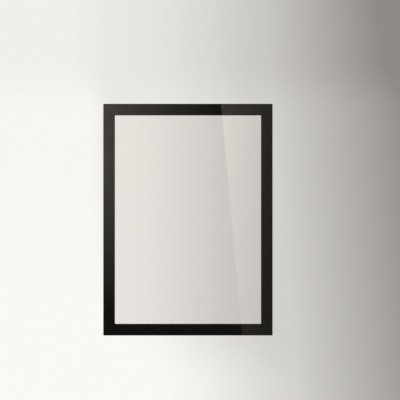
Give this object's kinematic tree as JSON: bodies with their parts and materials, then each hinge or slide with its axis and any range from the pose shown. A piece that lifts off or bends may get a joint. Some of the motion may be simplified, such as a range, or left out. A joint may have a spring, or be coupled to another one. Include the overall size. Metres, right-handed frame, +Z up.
{
  "type": "electrostatic display frame",
  "caption": "Flat upright display frame for a sheet of paper: a clear pocket with a black border that clings to glass by static, with a hinged front held shut by magnetic strips.",
  "frame": {"origin": "centre of the cling film's back face, the face that lies on the glass", "axes": "+Z up along the frame's height, +Y backwards into the glass, +X to the right as the front is seen"},
  "size_m": [0.2361, 0.0031, 0.323],
  "materials": {
    "black_border": "smooth black sheet with a soft gloss and rolled die-cut edges",
    "cling_film": "clear soft static film, slightly wavy",
    "window_film": "clear glossy film",
    "magnetic_rubber": "matte brown-black extruded strip",
    "white_tape": "off-white double-sided tape",
    "hinge_film": "milky satin film, whitened along the crease"
  },
  "bodies": {
    "base": {"cling_film": "cling_film", "back_border": "black_border", "back_tape_top": "white_tape", "back_tape_bottom": "white_tape", "back_tape_left": "white_tape", "back_tape_right": "white_tape", "back_magnet_top": "magnetic_rubber", "back_magnet_bottom": "magnetic_rubber", "back_magnet_left": "magnetic_rubber", "back_magnet_right": "magnetic_rubber", "hinge_leaf_back": "hinge_film"},
    "cover": {"front_magnet_top": "magnetic_rubber", "front_magnet_bottom": "magnetic_rubber", "front_magnet_left": "magnetic_rubber", "front_magnet_right": "magnetic_rubber", "front_tape_top": "white_tape", "front_tape_bottom": "white_tape", "front_tape_left": "white_tape", "front_tape_right": "white_tape", "window_film": "window_film", "front_border": "black_border", "hinge_leaf_front": "hinge_film"}
  },
  "joints": [
    {"name": "cover_hinge", "type": "hinge", "parent": "base", "child": "cover", "pos_m": [-0.1181, -0.00154, 0], "axis": [0, 0, -1], "range_deg": [0, 180]}
  ]
}
